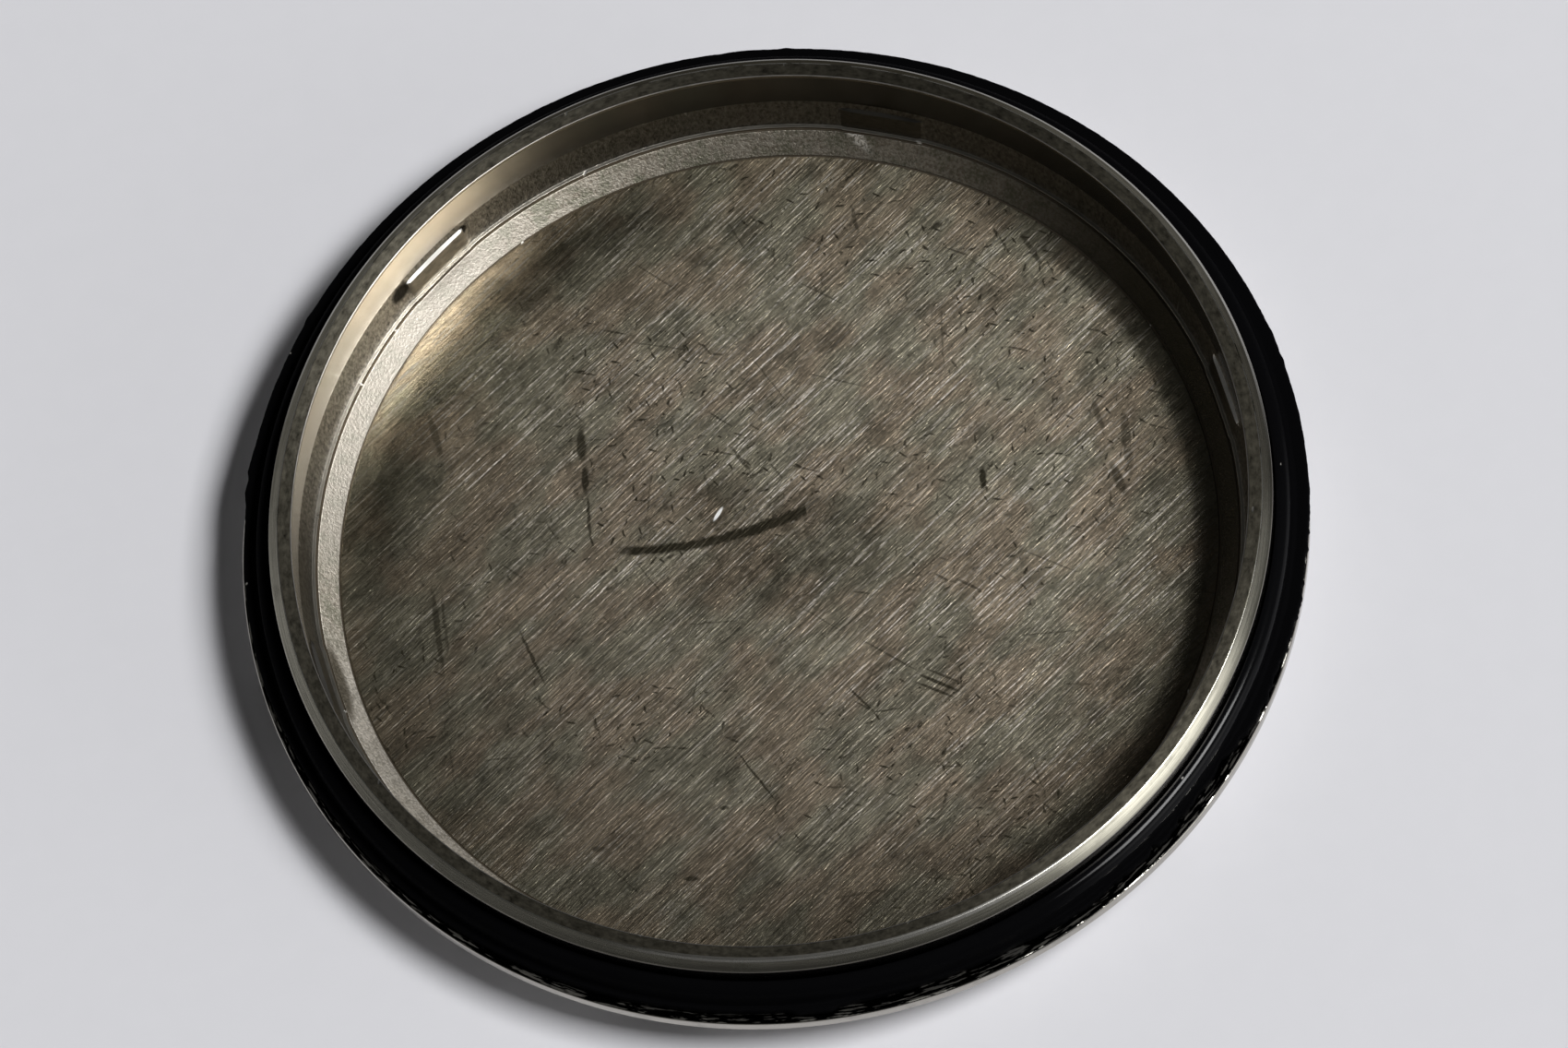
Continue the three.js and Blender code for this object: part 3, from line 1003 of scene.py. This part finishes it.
case_back = outline_object("steel_case_back", rounded_outline([
    (0, 0, 0, "outer_face"),
    (outer_face_radius / 2, 0, 0, "outer_face"),
    (outer_face_radius, 0, soft_round, "bevel"),
    (flange_radius, flange_top - flange_edge_height, soft_round, "flange_edge"),
    (flange_radius, flange_top, soft_round, "flange"),
    (neck_radius, flange_top, edge_round, "neck"),
    (neck_radius, rim_top - rim_chamfer_depth, chamfer_round, "chamfer"),
    (neck_radius - rim_chamfer_width, rim_top, chamfer_round, "land"),
    (bore_radius + rim_edge_width, rim_top, 0, "rim_edge"),
    (bore_radius, rim_top, fine_round, "rim_edge"),
    (bore_radius, rim_top - rim_edge_width, 0, "smooth_wall"),
    # A thin dark band in the groove finish on the flat wall; no groove is cut here.
    (bore_radius, rim_top - rim_line_top, 0, "groove"),
    (bore_radius, rim_top - rim_line_foot, 0, "smooth_wall"),
    (bore_radius, rim_top - smooth_wall_height / 2, 0, "smooth_wall"),
    (bore_radius, coarse_top, fine_round, "coarse_wall"),
    *[coarse_row(share) for share in wall_rows],
    (shelf_radius, shelf_top, fine_round, "shelf"),
    (shelf_groove_radius, shelf_top, fine_round, "groove"),
    (shelf_groove_radius, shelf_groove_floor, 0, "groove"),
    (ring_outer_radius, shelf_groove_floor, 0, "groove"),
    (ring_outer_radius, ring_top, fine_round, "ring"),
    *[ring_row(share) for share in ring_rows],
    (floor_groove_radius, plate_top, 0, "groove"),
    (floor_groove_radius, floor_groove_floor, 0, "groove"),
    (floor_radius, floor_groove_floor, 0, "groove"),
    (floor_radius, plate_top, fine_round, "floor"),
    (floor_radius * 0.67, plate_top, 0, "floor"),
    (floor_radius * 0.33, plate_top, 0, "floor"),
    (0, plate_top, 0, "floor"),
]))
apply_tree(case_back, turning_tree("turned_back", steel), {
    "Steps": turn_steps, "Marks": mark_count, "First Mark": first_mark,
    "Crowding": step_crowding, "Merge Distance": merge_distance,
})
apply_tree(case_back, pressing_tree("pressed_notches", steel), {
    "Marks": mark_count, "First Mark": first_mark,
    "Dent Width": dent_width, "Dent End": dent_end, "Dent Proud": dent_proud,
    "Dent Ledge": dent_ledge, "Dent Foot": dent_foot, "Ledge Drop": ledge_drop,
    "Wall Radius": bore_radius + wall_margin, "Wall Foot": shelf_top + foot_margin,
    "Notch Width": notch_width, "Notch Reach": notch_reach, "Notch Height": notch_height,
    "Notch Rounding": notch_rounding, "Notch Arc Steps": notch_arc_steps,
    "Flange Radius": flange_radius,
})
finish_mesh(case_back, steel_sharp_angle)
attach(case_back, "case_back")
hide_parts("case_back")


# The gasket: one black rubber ring, a flat part on the flange and a rounded collar round the neck.
# It is turned from its outline, and its outer edge is then drawn in as far as it is worn.

gasket_fit = 0.05 * mm
gasket_thickness = 0.3 * mm
collar_thickness = 0.45 * mm
unworn_width = 0.6 * mm
foot_round, top_round, fillet_round = 0.05 * mm, 0.08 * mm, 0.2 * mm
collar_round, lip_round = 0.35 * mm, 0.03 * mm
rubber_sharp_angle = math.radians(40)

gasket_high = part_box("sealing_gasket")[1]
gasket_radius = gasket_high.x
gasket_inner_radius = neck_radius + gasket_fit
collar_radius = gasket_inner_radius + collar_thickness
gasket_flat_top = flange_top + gasket_thickness
collar_top = gasket_high.z

rubber_colour = (0.0012, 0.0012, 0.0015)
dust_colour = (0.25, 0.24, 0.22)

rubber, graph = surface("black_rubber", rubber_colour, 0.5)
shader = rubber.node_tree.nodes["Principled BSDF"]
shader.inputs["Specular IOR Level"].default_value = 0.02
shader.inputs["Coat Roughness"].default_value = 0.12
shader.inputs["Coat Tint"].default_value = (0.80, 0.90, 1.0, 1)
place = spot(graph)
x, y, z = graph.parts(place)
grain = graph.noise(graph.vector("SCALE", place, 7), 3, 0.7)
dust = flecks(graph, place, 1.1, (0.045, 0.03), 0.04)
feed(graph, "Base Color", graph.mix(dust, rubber_colour, dust_colour))
# Painted highlight: a bluish coat lies only on the collar's top, and only toward 324 degrees, where the
# lamp's highlight falls.
polished = graph.smooth(z, gasket_flat_top / mm + 0.35, gasket_flat_top / mm + 0.6)
feed(graph, "Coat Weight", polished * facing(graph, x, y, 324, 0.82, 0.98) * 0.24)
feed(graph, "Roughness", 0.70 + grain * 0.15)
raise_surface(graph, grain, 0.002 * mm)

finishes.append("rubber")
gasket_steps = 1440

# The worn outer edge: degrees round from +X, how far out it reaches there, and how ragged it is, in
# millimetres. The near side is drawn in, with a tab at 262 degrees and a torn stretch after 295.
worn_edge = [
    (0, 17.10, 0.012), (5, 17.09, 0.012), (6, 17.13, 0.01), (7, 17.09, 0.012), (9.5, 17.13, 0.01),
    (11, 17.10, 0.012), (40, 17.10, 0.010), (76, 17.09, 0.012), (77, 17.13, 0.01), (78, 17.09, 0.012),
    (82, 17.12, 0.01), (84, 17.10, 0.012), (90, 17.12, 0.012), (120, 17.11, 0.010), (139, 17.09, 0.012),
    (140, 17.13, 0.01), (141, 17.09, 0.012), (156, 17.07, 0.015), (159, 17.12, 0.015), (160, 17.05, 0.015),
    (161.5, 17.10, 0.015), (163, 17.01, 0.02), (170, 16.96, 0.02), (185, 16.93, 0.02), (190, 16.84, 0.02),
    (220, 16.78, 0.02), (240, 16.73, 0.02), (260, 16.70, 0.02), (261, 16.82, 0.01), (264.5, 16.83, 0.01),
    (265.5, 16.70, 0.02), (270, 16.62, 0.02), (286, 16.60, 0.025), (291, 16.70, 0.04), (295, 16.76, 0.05),
    (298, 16.64, 0.06), (301, 16.72, 0.05), (303.4, 16.76, 0.04), (304.2, 16.58, 0.02), (305, 16.76, 0.05),
    (307.8, 16.72, 0.05), (308.6, 16.58, 0.02), (309.4, 16.72, 0.05), (312, 16.62, 0.04), (315, 16.66, 0.05),
    (317, 16.58, 0.03), (318.5, 16.74, 0.05), (322, 16.90, 0.07), (325, 17.00, 0.08), (328, 16.90, 0.08),
    (332, 17.02, 0.08), (337, 17.04, 0.08), (341, 17.00, 0.07), (346, 17.06, 0.05), (353, 17.08, 0.02),
    (360, 17.10, 0.012),
]

gasket = outline_object("rubber_gasket", rounded_outline([
    (gasket_inner_radius, flange_top, 0, "rubber"),
    (flange_radius - unworn_width, flange_top, 0, "rubber"),
    (gasket_radius, flange_top, foot_round, "rubber"),
    (gasket_radius, gasket_flat_top, top_round, "rubber"),
    (collar_radius, gasket_flat_top, fillet_round, "rubber"),
    (collar_radius, collar_top, collar_round, "rubber"),
    (gasket_inner_radius, collar_top, lip_round, "rubber"),
    (gasket_inner_radius, flange_top, 0, "rubber"),
]))
apply_tree(gasket, turning_tree("turned_gasket", {"rubber": rubber}), {
    "Steps": gasket_steps, "Marks": mark_count, "First Mark": first_mark,
    "Crowding": 0.0, "Merge Distance": merge_distance,
})


def worn_radius(angle):
    """How far out the worn edge reaches at an angle: the table above and fine ragged noise."""
    degrees = math.degrees(angle) % 360
    for (start, near, torn), (end, far, torn_after) in zip(worn_edge, worn_edge[1:]):
        if degrees <= end:
            break
    share = (degrees - start) / (end - start)
    ragged = torn + (torn_after - torn) * share
    spot_on_edge = Vector((math.cos(angle), math.sin(angle), 0))
    coarse = noise.noise(spot_on_edge * 45)
    fine = noise.noise(spot_on_edge * 150)
    reach = near + (far - near) * share + ragged * (coarse + fine * 0.7)
    return min(reach * mm, gasket_radius)


for vertex in gasket.data.vertices:
    here = vertex.co
    radius = math.hypot(here.x, here.y)
    if radius > collar_radius + merge_distance:
        worn = worn_radius(math.atan2(here.y, here.x))
        stretch = (worn - collar_radius) / (gasket_radius - collar_radius)
        pulled = collar_radius + (radius - collar_radius) * stretch
        here.x *= pulled / radius
        here.y *= pulled / radius

finish_mesh(gasket, rubber_sharp_angle)
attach(gasket, "sealing_gasket")
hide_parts("sealing_gasket")
